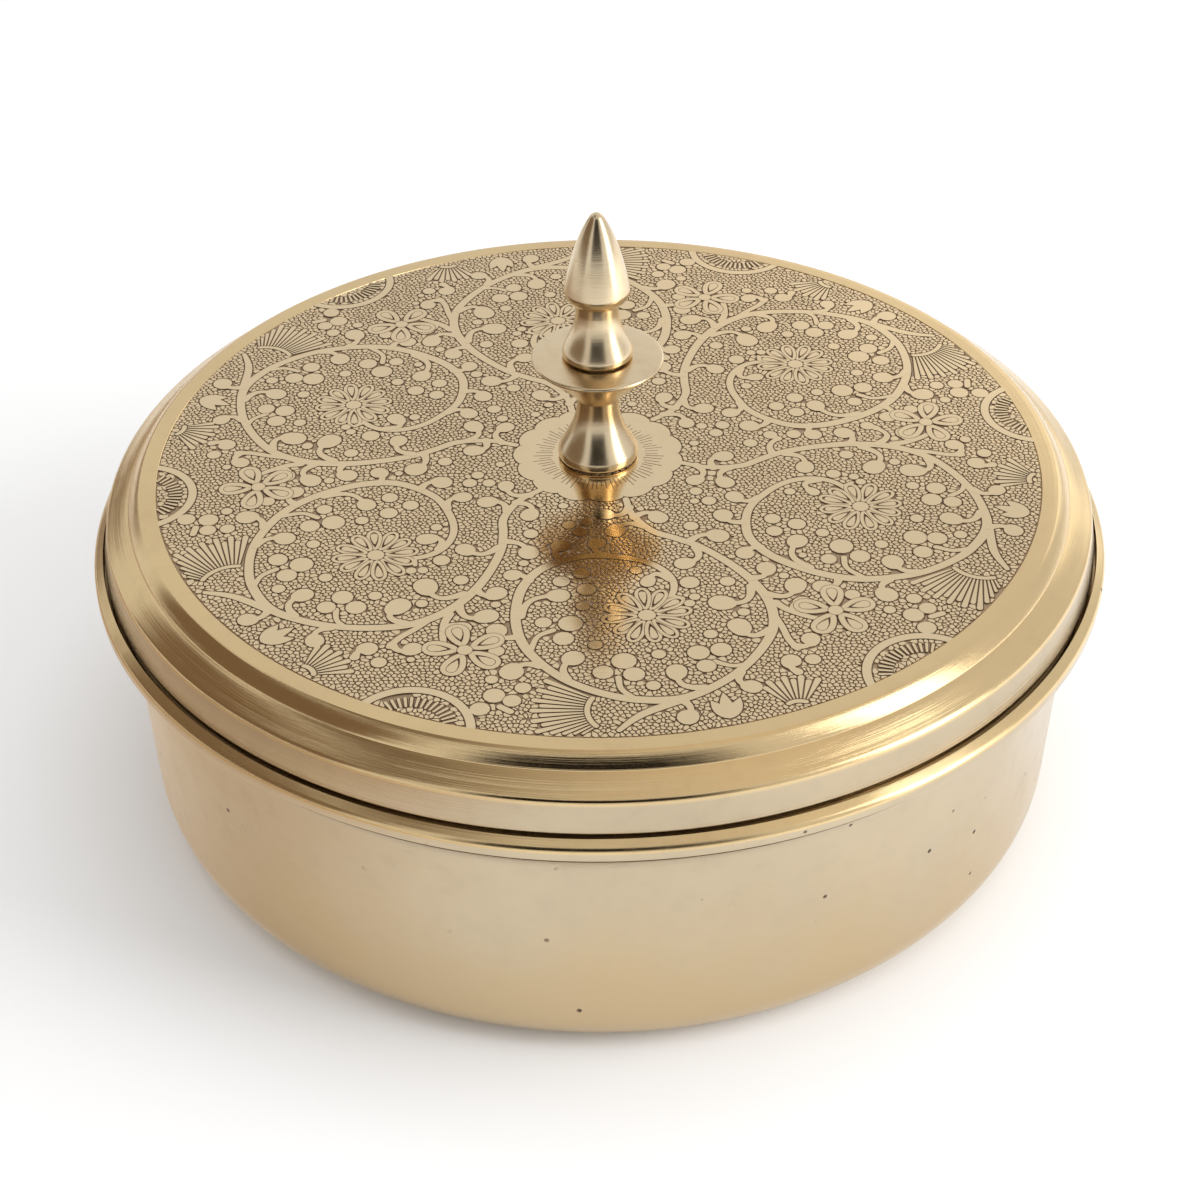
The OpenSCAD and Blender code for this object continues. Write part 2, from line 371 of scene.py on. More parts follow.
def make_body():
    """A spun pot. From outside to inside: a rounded foot, a wall that leans out a little, a hollow
    moulding, a notch, a rolled band round the rim, and the same wall again from within."""
    band_h, roll, band_t, cove = 2.7, 0.9, SHEET + 0.2, 3.5
    corner, base_ring = 6.4, 30.0
    mouth_r, wall_r = RIM_R - band_t, RIM_R - cove
    band_z = RIM_Z - band_h
    cove_z = band_z - cove
    foot_r = wall_r - 0.7
    outline = [(0.0, 0.0), (base_ring, 0.0)]
    outline += arc(foot_r - corner, corner, corner, -90, 0, 16)
    wall_low = np.array(outline[-1])
    wall_high = np.array((wall_r, cove_z - 1))
    outline += [tuple(wall_low + (wall_high - wall_low) * t) for t in np.linspace(0.1, 0.9, 9)]
    outline += curve((wall_r, cove_z - 1), (wall_r, cove_z + 1.6),
                     (RIM_R - 1.3, cove_z + 2.8), (RIM_R - 0.6, band_z - 0.15), 18)[1:]
    outline += [(RIM_R - inset, band_z + rise) for inset, rise in (
        (0.61, 0.02), (0.6, 0.34), (0.45, 0.45), (0.14, 0.47), (0.03, 0.54), (0.0, 0.66))]
    outline += arc(RIM_R - roll, RIM_Z - 1.27, roll, 0, 57, 8)
    outline += [(RIM_R - 1.1, RIM_Z - 0.04), (mouth_r + 0.04, RIM_Z), (mouth_r, RIM_Z - 0.06)]
    step = cove + SHEET
    outline += arc(RIM_R, cove_z, step, 180 - degrees(acos(band_t / step)), 180, 14)
    outline += arc(foot_r - corner, corner, corner - SHEET, 0, -90, 14)
    outline += [(base_ring, SHEET), (0.0, SHEET)]
    turned_piece("brass_body", outline, "box", "body_brass", BODY_BRASS, "body", warp=hand_spun(0.05, 3))


# ---- lid

def make_lid():
    """A spun disc. From inside to outside: a flat underside, a skirt that drops into the body's
    mouth, a swelling above the rim, a sloping ledge, a rounded shoulder, a plain margin and the
    sunk field."""
    shoulder, drop, swell = 1.5, 1.9, 0.6
    foot = (FLAT_R + shoulder + 0.2, LID_Z - shoulder)
    edge = (RIM_R - 2.2, foot[1] - drop)
    slope = degrees(atan2(foot[1] - edge[1], edge[0] - foot[0]))
    skirt_r, turn_z = RIM_R - 1.9, RIM_Z - 0.5
    swell_r, swell_z = RIM_R - 1.5, RIM_Z + swell
    mid_r = skirt_r - SHEET / 2
    round_z = LID_LOW[2] + SHEET / 2
    hole_r, ring_r = 1.6, (15.0, 30.0, 45.0)
    outline = [(hole_r, LID_Z - SHEET), (ring_r[1], LID_Z - SHEET)]
    outline += arc(foot[0] - shoulder, foot[1], shoulder - SHEET, 90, 0, 5)
    inner_edge = (edge[0] - sin(radians(slope)), edge[1] - cos(radians(slope)))
    rise = (inner_edge[0] - foot[0] + SHEET) * tan(radians(slope))
    outline += [(foot[0] - SHEET, inner_edge[1] + rise), inner_edge,
                (inner_edge[0] - 0.1, inner_edge[1] - 0.4),
                (swell_r - SHEET, swell_z), (skirt_r - SHEET, turn_z)]
    outline += arc(mid_r, round_z, SHEET / 2, 180, 360, 12)
    outline += curve((skirt_r, turn_z - 0.3), (skirt_r + 0.02, turn_z + 0.3),
                     (swell_r - 0.02, swell_z - 0.5), (swell_r, swell_z), 6)
    outline += arc(edge[0] - 0.8, edge[1] - 0.56, 0.9, 4, 90 - slope, 10)
    outline += curve((edge[0] - 0.9, edge[1] + 0.55), (edge[0] - 1.4, edge[1] + 0.9),
                     (foot[0] + 0.6, foot[1] - 0.35), (foot[0] + 0.05, foot[1] - 0.15), 8)
    outline += curve(foot, (foot[0] - 0.42, foot[1] + 0.62), (FLAT_R + 0.5, LID_Z - 0.05),
                     (FLAT_R + 0.1, LID_Z), 14)
    outline += [(FIELD_R + 1.2, LID_Z), (FIELD_R + 0.03, LID_Z), (FIELD_R, LID_Z - 0.02),
                (FIELD_R - FLANK, FLOOR_Z)]
    outline += [(r, FLOOR_Z) for r in (*ring_r[::-1], hole_r)]
    turned_piece("brass_lid", outline, "lid_and_knob", "lid_brass", LID_BRASS, "lid", closed=True,
                 warp=hand_spun(0.03, 5))


# ---- engraved ornament on the lid

class Clearance:
    """How far each place on the lid is from the nearest motif, on a fine grid."""
    STEP = 0.12
    REACH = 2.2

    def __init__(self):
        self.half = FIELD_R + 2
        self.count = int(2 * self.half / self.STEP) + 1
        axis = -self.half + self.STEP * np.arange(self.count)
        self.x, self.y = np.meshgrid(axis, axis, indexing="ij")
        self.grid = np.minimum(FIELD_R - 0.02 - np.hypot(self.x, self.y), self.REACH)

    def add(self, a, b, radius_a, radius_b):
        """Takes in a straight stroke from a to b, with its half-widths."""
        reach = max(radius_a, radius_b) + self.REACH
        low, high = (((corner + self.half) / self.STEP).astype(int).clip(0, self.count - 1)
                     for corner in (np.minimum(a, b) - reach, np.maximum(a, b) + reach))
        window = np.s_[low[0]:high[0] + 1, low[1]:high[1] + 1]
        x, y = self.x[window] - a[0], self.y[window] - a[1]
        along = b - a
        t = ((x * along[0] + y * along[1]) / max(along @ along, 1e-9)).clip(0, 1)
        gap = np.hypot(x - t * along[0], y - t * along[1]) - (radius_a + (radius_b - radius_a) * t)
        self.grid[window] = np.minimum(self.grid[window], gap)

    def at(self, points):
        """The clearance at points, by linear interpolation."""
        place = ((points + self.half) / self.STEP).clip(0, self.count - 2.001)
        cell = place.astype(int)
        f = place - cell
        i, j = cell[..., 0], cell[..., 1]
        u, v = f[..., 0], f[..., 1]
        g = self.grid
        return (g[i, j] * (1 - u) * (1 - v) + g[i + 1, j] * u * (1 - v)
                + g[i, j + 1] * (1 - u) * v + g[i + 1, j + 1] * u * v)


def smooth(points, steps):
    """A Catmull-Rom line through rows of (x, y, radius)."""
    p = np.array(points, float)
    p = np.vstack([2 * p[0] - p[1], p, 2 * p[-1] - p[-2]])
    rows = []
    for k in range(1, len(p) - 2):
        for t in np.linspace(0, 1, steps, endpoint=False):
            a, b, c, d = p[k - 1:k + 3]
            rows.append(0.5 * (2 * b + (c - a) * t + (2 * a - 5 * b + 4 * c - d) * t * t
                               + (3 * b - a - 3 * c + d) * t ** 3))
    rows.append(p[-2])
    return np.array(rows)


def courses(steps):
    """Unit directions along rows of steps, and to the left of them."""
    along = steps / np.maximum(np.linalg.norm(steps, axis=1), 1e-9)[:, None]
    return along, np.stack([-along[:, 1], along[:, 0]], 1)


class Ornament:
    """Motifs that the engraver leaves standing, each a line of changing half-width with round
    ends and a dark cut round it. A motif's cut lies below the tops of the others, so that motifs
    which touch run together, but a parted motif's cut shows on the ones drawn before it. CAP is
    the number of points on a round end, and RISE the height of each motif over the last one, so
    that no two faces coincide."""
    CAP = 5
    RISE = 0.00012
    TOP = LID_Z - 0.04
    CUT_DROP = 0.06
    LEAST_GROUND = 0.28

    def __init__(self, clearance):
        self.clearance = clearance
        self.vertices, self.faces, self.cut = [], [], []
        self.turn = np.eye(2)
        self.origin = np.zeros(2)
        self.layer = 0
        self.parted = False
        self.cut_width = 0.085

    def at(self, angle, distance=0.0):
        """Sets the frame of the next motifs: x to the side, y towards the lid's centre."""
        spin = radians(angle) + pi / 2
        self.turn = np.array([[cos(spin), -sin(spin)], [sin(spin), cos(spin)]])
        self.origin = self.turn @ np.array([0.0, -distance])

    def room(self, x, y, radius):
        """How large a round motif may be here, up to a radius, with ground left round it."""
        free = self.clearance.at(self.turn @ np.array([x, y]) + self.origin)
        return min(radius, float(free) - self.LEAST_GROUND)

    def outline(self, centre, radius):
        """Left and right sides and the two rounded ends of a line, as one closed outline."""
        along, side = courses(np.gradient(centre, axis=0))
        left, right = centre + side * radius[:, None], centre - side * radius[:, None]
        caps = []
        for end, sign in ((-1, 1), (0, -1)):
            angles = np.linspace(pi / 2, -pi / 2, self.CAP + 2)[1:-1]
            forward, sideways = along[end] * sign, side[end] * sign
            caps.append(centre[end] + radius[end] * (np.sin(angles)[:, None] * sideways
                                                     + np.cos(angles)[:, None] * forward))
        return np.vstack([left, caps[0], right[::-1], caps[1]])

    def levels(self):
        """Widening and height of the rings of a motif, from the field's floor up to its top."""
        self.layer += 1
        top = self.TOP + self.RISE * self.layer
        low = top if self.parted else top - self.CUT_DROP
        return ((self.cut_width + FLANK, FLOOR_Z - 0.01), (self.cut_width, low), (0.0, low),
                (0.0, top + self.RISE / 3))

    def line(self, rows, closed=False):
        """One motif from rows of (x, y, half-width) in the current frame."""
        rows = np.array(rows, float)
        centre = rows[:, :2] @ self.turn.T + self.origin
        radius = rows[:, 2]
        if closed:
            self.loop(centre, radius)
            ends = np.roll(centre, -1, axis=0), np.roll(radius, -1)
        else:
            self.ribbon(centre, radius)
            ends = centre[1:], radius[1:]
        for a, b, ra, rb in zip(centre, ends[0], radius, ends[1]):
            self.clearance.add(a, b, ra, rb)

    def add_faces(self, faces, cut):
        self.faces.extend(faces)
        self.cut.extend([cut] * len(faces))

    def ribbon(self, centre, radius):
        """A line with two round ends."""
        n, cap = len(centre), self.CAP
        size = 2 * n + 2 * cap
        first = len(self.vertices)
        levels = self.levels()
        for widen, z in levels:
            self.vertices.extend((x, y, z) for x, y in self.outline(centre, radius + widen))
        for level in range(len(levels) - 1):
            low = first + level * size
            self.add_faces([(low + j, low + i, low + size + i, low + size + j)
                            for i, j in zip(range(size), [*range(1, size), 0])], True)
        base = first + (len(levels) - 1) * size
        far = base + 2 * n + cap - 1
        self.add_faces([(base + i + 1, far - i - 1, far - i, base + i) for i in range(n - 1)], False)
        self.add_faces([tuple(range(base + n + cap, base + n - 2, -1)),
                        (base, *range(far + cap, far - 1, -1))], False)

    def loop(self, centre, radius):
        """A closed band, such as the rim of a petal."""
        _, side = courses(np.roll(centre, -1, axis=0) - np.roll(centre, 1, axis=0))
        n = len(centre)
        levels = self.levels()
        section = [(1, *level) for level in levels] + [(-1, *level) for level in levels[::-1]]
        first = len(self.vertices)
        for sign, widen, z in section:
            ring = centre + sign * side * (radius + widen)[:, None]
            self.vertices.extend((x, y, z) for x, y in ring)
        for s in range(len(section) - 1):
            low, high = first + s * n, first + (s + 1) * n
            self.add_faces([(low + i, low + j, high + j, high + i)
                            for i, j in zip(range(n), [*range(1, n), 0])], s != len(levels) - 1)

    # Motifs

    def dot(self, x, y, radius):
        """A round dot: a line 0.04 mm long with round ends."""
        self.line([(x - 0.02, y, radius), (x + 0.02, y, radius)])

    def fitted_dot(self, x, y, radius):
        """A round dot, made smaller or left out where there is no room for it."""
        radius = self.room(x, y, radius)
        if radius > 0.4:
            self.dot(x, y, radius)

    def bud(self, x0, y0, x1, y1, head, bend):
        """A curled stalk from one point to another, with a round bud on its end."""
        stem = 0.34
        head = max(self.room(x1, y1, head), 0.55)
        length = hypot(x1 - x0, y1 - y0)
        bud = head / length
        shares = list(np.linspace(0, max(0.1, 1 - bud * 1.2), 7))
        shares += [1 - bud * away for away in (0.99, 0.9, 0.7, 0.4, 0.0)]
        rows = []
        for t in shares:
            side = bend * sin(pi * t)
            circle = sqrt(max(0.0, 1 - min(1.0, (1 - t) / bud) ** 2))
            half = max(stem * (1 + 0.7 * (1 - t) ** 3), head * circle)
            rows.append((x0 + (x1 - x0) * t - (y1 - y0) * side,
                         y0 + (y1 - y0) * t + (x1 - x0) * side, half))
        self.line(rows)

    def vine(self, *points):
        """A smooth stalk through points given as (x, y, half-width)."""
        self.line(smooth(points, 5))

    def leaf(self, x, y, heading, length, width, bend):
        """A pointed leaf that starts at a point."""
        steps = 9
        rows = []
        for k in range(steps + 1):
            s = k / steps
            angle = radians(heading + bend * s)
            rows.append((x, y, 0.08 + width * sin(pi * min(1, s ** 0.85)) ** 0.9))
            x += length / steps * cos(angle)
            y += length / steps * sin(angle)
        self.line(rows)

    def berries(self, stalk, *berries):
        """Round berries that touch, given as (x, y, radius), on the end of a stalk."""
        self.vine(*stalk)
        self.parted = True
        for berry in berries:
            self.dot(*berry)
        self.parted = False

    def petal(self, x, y, heading, length, width, band):
        """A looped petal: a rounded band round a smaller drop."""
        a = radians(heading)
        rows = []
        for t in np.linspace(0, 2 * pi, 18, endpoint=False):
            u = 0.5 * length * (1 - cos(t))
            v = width * sin(t) * (0.45 + 0.55 * (u / length))
            rows.append((x + u * cos(a) - v * sin(a), y + u * sin(a) + v * cos(a), band))
        self.line(rows, closed=True)
        self.line([(x + r * length * cos(a), y + r * length * sin(a), half)
                   for r, half in ((0.3, 0.1), (0.5, 0.34 * width), (0.74, 0.46 * width))])

    def fan(self, x, y, start, end, inner, outer, rays):
        """A sunburst in a medallion's frame: wide rays parted by fine cuts, round an arc, and cut
        off by the border."""
        start, end = radians(start), radians(end)
        step = (end - start) / (rays - 1)
        self.line([(x + inner * cos(a), y + inner * sin(a), 0.3)
                   for a in np.linspace(start, end, 16)])
        near = inner + 0.5
        for k in range(rays):
            a = start + step * k
            far = outer * (1.0 + 0.05 * cos(k * pi))
            while hypot(x + far * cos(a), y - MEDALLION_R + far * sin(a)) > FIELD_R - 0.6:
                far -= 0.2
            if far > near + 0.6:
                self.line([(x + r * cos(a), y + r * sin(a), 0.5 * r * step - 0.1)
                           for r in (near, far)])


MEDALLION_R = 34.9


def polar(angle, radius):
    """A point at an angle in degrees and a distance from the origin."""
    return radius * cos(radians(angle)), radius * sin(radians(angle))


def shaken(vary, amount=0.2):
    """A small random shift, as of a hand-cut motif."""
    return vary.uniform(-amount, amount)


def vines(o, angle):
    """A long stalk from the rosette that winds round a medallion and in to its daisy, with forks
    to the border and to the flower in the gap beside it."""
    o.at(angle, MEDALLION_R)
    o.vine((15.0, 0.9, 0.5), (15.9, -0.5, 0.46), (17.6, -2.0, 0.4), (19.0, -2.9, 0.34))
    o.vine((1.6, -14.4, 0.5), (-2.6, -15.8, 0.5), (-4.6, -16.9, 0.42), (-6.4, -18.4, 0.3))
    o.vine((14.2, -0.8, 0.42), (14.7, -3.6, 0.38), (14.9, -6.0, 0.4), (15.5, -7.8, 0.44))
    o.vine((1.7, 24.4, 0.4), (1.9, 21.0, 0.44), (3.6, 17.3, 0.5), (6.1, 15.3, 0.52), (8.6, 13.1, 0.52),
           (11.2, 9.5, 0.54), (13.2, 5.6, 0.58), (14.3, 1.1, 0.6), (13.8, -3.3, 0.56), (11.8, -6.9, 0.54),
           (8.6, -10.4, 0.52), (4.9, -12.9, 0.54), (0.9, -14.3, 0.6), (-3.8, -13.6, 0.56),
           (-7.3, -11.9, 0.52), (-10.5, -9.3, 0.52), (-12.8, -6.1, 0.54), (-14.3, -2.7, 0.58),
           (-14.8, 0.8, 0.58), (-14.4, 4.7, 0.58), (-13.0, 8.8, 0.6), (-10.2, 12.0, 0.56),
           (-5.3, 13.5, 0.5), (-1.0, 12.6, 0.46), (2.0, 11.0, 0.44), (3.8, 8.6, 0.44), (4.2, 6.2, 0.42),
           (3.4, 4.0, 0.36), (1.5, 2.2, 0.3))


def medallion(o, angle, vary):
    """What grows inside and round a winding stalk: a daisy, berries, curled buds and fans."""
    o.at(angle, MEDALLION_R)
    petals = 12
    o.parted = True
    for k in range(petals):
        a = 360 / petals * k + shaken(vary, 3)
        x, y = polar(a, 1.25)
        o.petal(0.1 + x, 1.0 + y, a, 3.7 + shaken(vary), 0.95, band=0.2)
    o.dot(0.1, 1.0, 1.0)
    o.parted = False

    # Trefoils of berries on stalks from the vine
    o.berries(((-13.9, -3.4, 0.36), (-12.7, -0.9, 0.32), (-10.8, 0.0, 0.36)),
              (-11.7, 1.6, 0.95), (-8.7, 0.9, 1.4), (-9.9, -1.7, 1.2))
    o.berries(((-3.9, -13.4, 0.36), (-5.0, -11.6, 0.32), (-5.0, -9.6, 0.36)),
              (-6.5, -8.4, 1.15), (-3.9, -6.8, 1.4), (-3.2, -9.3, 1.2))
    o.berries(((9.2, -9.7, 0.36), (7.6, -9.6, 0.3), (6.0, -8.6, 0.36)),
              (4.5, -6.7, 1.25), (7.1, -6.6, 1.2), (4.9, -9.2, 1.1))
    o.berries(((3.9, 3.9, 0.28), (4.7, 3.4, 0.28)), (5.3, 2.4, 0.62), (6.1, 3.5, 0.62))
    o.berries(((-17.4, -13.4, 0.4), (-18.4, -12.4, 0.4)), (-18.8, -10.4, 1.2), (-20.6, -12.4, 1.1),
              (-17.0, -11.6, 1.0))

    # Curled buds inside the vine and outside it
    for x0, y0, x1, y1, head, bend in (
            (13.2, -4.0, 9.8, -2.5, 1.35, 0.42), (12.9, 4.4, 8.8, 1.9, 1.4, 0.34),
            (8.1, 13.0, 5.9, 9.9, 1.15, 0.3), (3.9, 7.4, 1.1, 7.3, 1.1, -0.5),
            (-14.1, 3.2, -9.2, 6.2, 1.2, 0.25), (-10.6, -8.9, -9.5, -5.5, 1.3, 0.2),
            (3.9, -12.9, 1.4, -9.7, 1.25, 0.3), (-12.2, 9.8, -14.0, 11.3, 1.1, -0.2),
            (-14.9, -0.5, -17.1, 1.0, 1.15, 0.3), (-13.2, -6.1, -16.3, -6.7, 1.3, -0.25),
            (13.2, 6.0, 15.3, 7.6, 1.2, -0.3), (7.6, 14.4, 11.2, 15.0, 1.3, 0.2),
            (14.4, 2.6, 18.0, 3.9, 1.25, -0.35), (8.4, -10.9, 9.2, -13.6, 1.05, -0.3),
            (1.2, -14.6, 1.3, -17.4, 1.2, 0.2), (-7.9, 13.2, -7.4, 16.0, 1.2, 0.25),
            (15.4, -7.4, 17.4, -6.2, 1.1, -0.3), (2.0, 20.4, 5.0, 19.8, 1.15, 0.35),
            (2.8, 18.4, -0.6, 17.7, 1.2, -0.3), (1.8, 22.6, -1.6, 21.7, 1.05, 0.3),
            (-2.4, 13.2, -3.2, 16.0, 1.1, 0.3), (16.8, -1.2, 18.2, 0.6, 0.95, 0.3)):
        o.bud(x0, y0, x1 + shaken(vary), y1 + shaken(vary), head * (1 + shaken(vary, 0.05)), bend)
    o.bud(14.6, -11.9, 14.3, -9.9, 1.15, 0.2)

    # Leaves and fans on the border
    o.fan(-5.3, -15.2, 140, 212, 4.0, 9.4, 15)
    o.fan(13.3, -18.6, 58, 122, 1.8, 5.6, 8)
    for heading, length in ((118, 3.4), (88, 4.2), (56, 3.6)):
        o.leaf(5.6, -18.4, heading, length, 0.66, bend=0.3 * (90 - heading))

    # Dots where there is room
    for x, y, radius in (
            (5.9, 6.2, 1.15), (-8.6, 9.2, 1.0), (-5.9, 10.2, 1.0), (-6.0, 7.0, 1.1), (-6.6, -3.6, 0.8),
            (6.6, -3.6, 0.8), (0.0, -6.2, 0.8), (-6.9, 3.9, 0.8), (10.6, 5.8, 0.9), (11.2, -0.4, 0.7),
            (-1.6, -11.6, 0.8), (0.2, 9.8, 0.7), (-12.2, 4.8, 0.7), (11.3, -13.0, 0.9),
            (16.9, -10.2, 0.9), (-17.6, -2.8, 0.9), (-16.9, 4.6, 0.9), (-5.0, 18.6, 0.9),
            (-3.6, 20.6, 0.8), (8.4, 17.6, 0.9), (-10.6, 15.2, 0.9), (4.4, 22.2, 0.8),
            (-15.6, -9.6, 0.9), (-10.2, 18.4, 0.9)):
        o.fitted_dot(x + shaken(vary), y + shaken(vary), radius)


def gap_flower(o, angle, vary):
    """The looped flower, the arch on the border and the dots in the gap between two medallions."""
    o.at(angle, 0.0)
    x0, y0 = 0.2, -42.4
    o.parted = True
    for k in range(5):
        a = 54 + 72 * k + shaken(vary, 4)
        x, y = polar(a, 1.1)
        o.petal(x0 + x, y0 + y, a, 3.4, 1.3, band=0.34)
    o.dot(x0, y0, 0.85)
    o.parted = False

    # Arch with a row of rays under it
    hub = np.array((0, -FIELD_R - 2.2))
    o.line([(*(polar(a, 6.7) + hub), 0.5) for a in np.linspace(20, 160, 22)])
    for a in np.linspace(38, 142, 14):
        o.line([(*(polar(a, r) + hub), 0.033 * r) for r in (3.9, 5.3)])
    for x, y, radius in (
            (-6.6, -47.2, 1.1), (6.9, -47.6, 1.0), (-4.7, -46.0, 0.7), (4.9, -46.2, 0.7),
            (0.1, -36.6, 1.0), (0.3, -33.6, 0.9), (0.2, -30.8, 0.9), (-0.2, -28.0, 0.9),
            (0.1, -25.0, 1.0), (0.4, -21.6, 1.0), (-2.2, -18.4, 0.9), (2.4, -15.6, 0.9),
            (-2.0, -14.2, 0.9), (0.2, -12.4, 0.6)):
        o.fitted_dot(x + shaken(vary), y + shaken(vary), radius)


def rosette(o, vary):
    """Scalloped rosette round the knob: a lobed band round a plain ring, with fine cut rays."""
    o.at(-90, 0.0)
    lobes, inner = 15, 8.2
    rows = []
    for a in np.linspace(0, 2 * pi, lobes * 12, endpoint=False):
        reach = 9.7 + 0.95 * abs(sin(lobes * a / 2)) ** 0.7
        rows.append((*polar(degrees(a), (reach + inner) / 2), (reach - inner) / 2))
    o.line(rows, closed=True)
    o.line([(*polar(a, 6.7), 1.8) for a in np.linspace(0, 360, 90, endpoint=False)], closed=True)
    plain = o.cut_width
    o.parted, o.cut_width = True, 0.05
    rays = 75
    for k in range(rays):
        a = 360 * k / rays + shaken(vary, 0.8)
        o.line([(*polar(a, r), 0.004) for r in (5.9 + shaken(vary, 0.2), 7.7 + shaken(vary, 0.6))])
    o.parted, o.cut_width = False, plain


# Spacing of the pebbles, and their gap from the motifs
PEBBLE = 0.62
LINE_GAP = 0.15


def pebbles(clearance):
    """Small chased pebbles that fill the ground between the motifs, each the part of the ground
    that is nearer to it than to its neighbours. Gives their centres and their vertices: a ring on
    the field's floor, a ring round the top and the middle of the top."""
    # A shaken triangular grid, and each point's nearest neighbours
    scatter = np.random.default_rng(11)
    rows = np.arange(-FIELD_R, FIELD_R, PEBBLE * 0.866)
    columns = np.arange(-FIELD_R, FIELD_R, PEBBLE)
    x, y = np.meshgrid(columns, rows)
    x = x + (np.arange(len(rows)) % 2)[:, None] * PEBBLE / 2
    points = np.stack([x.ravel(), y.ravel()], 1)
    points += scatter.uniform(-0.36, 0.36, points.shape) * PEBBLE
    points = points[clearance.at(points) > LINE_GAP + 0.06]
    tree = kdtree.KDTree(len(points))
    for i, p in enumerate(points):
        tree.insert((p[0], p[1], 0.0), i)
    tree.balance()
    near = np.array([[j for _, j, _ in tree.find_n((p[0], p[1], 0.0), 11)] for p in points])[:, 1:]

    # How far a pebble reaches along each of its rays, to its neighbours and then to the motifs
    sides = 8
    angles = np.linspace(0, 2 * pi, sides, endpoint=False)[None, :] \
        + scatter.uniform(0, 2 * pi / sides, (len(points), 1))
    rays = np.stack([np.cos(angles), np.sin(angles)], 2)
    offset = points[near] - points[:, None, :]
    squared = (offset ** 2).sum(2)
    facing = np.einsum("nmk,nsk->nms", offset, rays)
    reach = np.where(facing > 1e-3, squared[:, :, None] / (2 * np.maximum(facing, 1e-3)), 9.0).min(1)
    reach = np.clip(reach - FLANK, 0.06, 0.62)
    for _ in range(4):
        short = LINE_GAP - clearance.at(points[:, None, :] + rays * reach[:, :, None])
        reach = np.maximum(reach - np.maximum(short, 0) * 0.8, 0.03)
    keep = reach.mean(1) > 0.09
    points, rays, reach = points[keep], rays[keep], reach[keep]

    # Low domes with uneven, slightly tilted tops
    count = len(points)
    height = LID_Z - scatter.uniform(0.008, 0.018, count)
    vertices = np.zeros((count, 2 * sides + 1, 3))
    for level, flare in enumerate((FLANK, 0.0)):
        ring = slice(level * sides, (level + 1) * sides)
        vertices[:, ring, :2] = points[:, None, :] + rays * (reach + flare)[:, :, None]
        vertices[:, ring, 2] = FLOOR_Z - 0.01 if flare else height[:, None] - 0.008
    vertices[:, -1, :2] = points
    vertices[:, -1, 2] = height
    tilt = scatter.uniform(-0.012, 0.012, (count, 1, 2))
    top = vertices[:, sides:, :]
    top[:, :, 2] += (tilt * (top[:, :, :2] - points[:, None, :])).sum(2)
    return points, vertices


def pebble_piece(name, vertices):
    """One piece of many pebbles, with dark sides."""
    count, size, _ = vertices.shape
    sides = size // 2
    pattern = [(i, (i + 1) % sides, sides + (i + 1) % sides, sides + i) for i in range(sides)]
    pattern += [(sides + i, sides + (i + 1) % sides, 2 * sides) for i in range(sides)]
    faces = [tuple(k * size + c for c in face) for k in range(count) for face in pattern]
    cut = ([True] * sides + [False] * sides) * count
    new_piece(name, vertices.reshape(-1, 3), faces, "lid_and_knob", FIELD_BRASS,
              cuts=(GROUND_PATINA, cut))


def make_ornament():
    """The sixfold pattern and its ground. Motifs of one kind that lie apart share their layers."""
    clearance = Clearance()
    ornament = Ornament(clearance)
    angles = [39.0 + 60 * k for k in range(6)]
    rosette(ornament, random.Random(60))
    for angle in angles:
        vines(ornament, angle)
    after_vines = ornament.layer
    for k, angle in enumerate(angles):
        ornament.layer = after_vines
        medallion(ornament, angle, random.Random(20 + k))
    after_medallions = ornament.layer
    for k, angle in enumerate(angles):
        ornament.layer = after_medallions
        gap_flower(ornament, angle + 30, random.Random(40 + k))
    new_piece("lid_ornament", ornament.vertices, ornament.faces, "lid_and_knob",
              FIELD_BRASS, cuts=(CUT_PATINA, ornament.cut))

    # The ground is two pieces, because one would have more faces than a piece may have
    points, vertices = pebbles(clearance)
    half_way = 38.0
    inner = np.hypot(points[:, 0], points[:, 1]) < half_way
    pebble_piece("lid_ground_inner", vertices[inner])
    pebble_piece("lid_ground_outer", vertices[~inner])


# ---- knob

